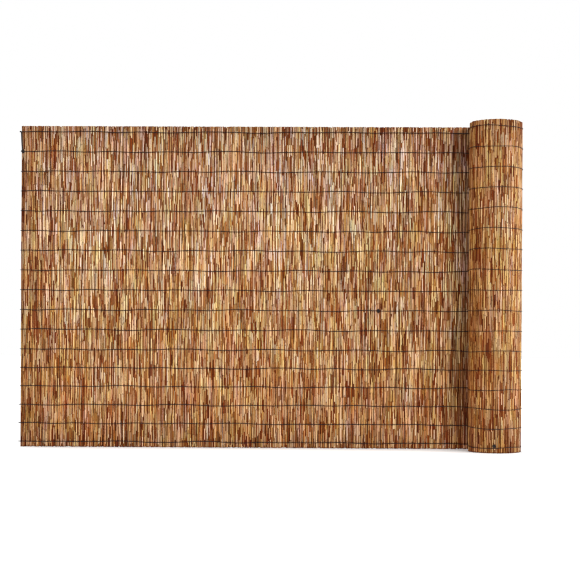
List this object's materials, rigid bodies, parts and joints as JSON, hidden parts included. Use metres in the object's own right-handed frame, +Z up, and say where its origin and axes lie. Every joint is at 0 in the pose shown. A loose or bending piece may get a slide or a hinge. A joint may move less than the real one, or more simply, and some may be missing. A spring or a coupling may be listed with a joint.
{
  "type": "reed fencing",
  "caption": "Reed screen fencing: a mat of upright reeds bound by rows of thin wire, partly unrolled as a flat panel, with the rest of the mat wound in a roll at one end.",
  "frame": {"origin": "bottom centre of the whole object, on the ground it stands on", "axes": "+X along the unrolled panel towards the roll, +Y out of the back of the panel, away from the side that the roll is on, +Z up along the reeds"},
  "size_m": [2.3226, 0.2516, 1.5],
  "materials": {
    "reed": "dry matt reed, streaked from straw and tan to red-brown",
    "wire": "dull dark binding wire"
  },
  "bodies": {
    "root": {"reed_mat": "reed", "front_wire_01": "wire", "front_wire_02": "wire", "front_wire_03": "wire", "front_wire_04": "wire", "front_wire_05": "wire", "front_wire_06": "wire", "front_wire_07": "wire", "front_wire_08": "wire", "front_wire_09": "wire", "front_wire_10": "wire", "front_wire_11": "wire", "front_wire_12": "wire", "front_wire_13": "wire", "front_wire_14": "wire", "front_wire_15": "wire", "front_wire_16": "wire", "front_wire_17": "wire", "back_wire_01": "wire", "back_wire_02": "wire", "back_wire_03": "wire", "back_wire_04": "wire", "back_wire_05": "wire", "back_wire_06": "wire", "back_wire_07": "wire", "back_wire_08": "wire", "back_wire_09": "wire", "back_wire_10": "wire", "back_wire_11": "wire", "back_wire_12": "wire", "back_wire_13": "wire", "back_wire_14": "wire", "back_wire_15": "wire", "back_wire_16": "wire", "back_wire_17": "wire"}
  },
  "joints": []
}
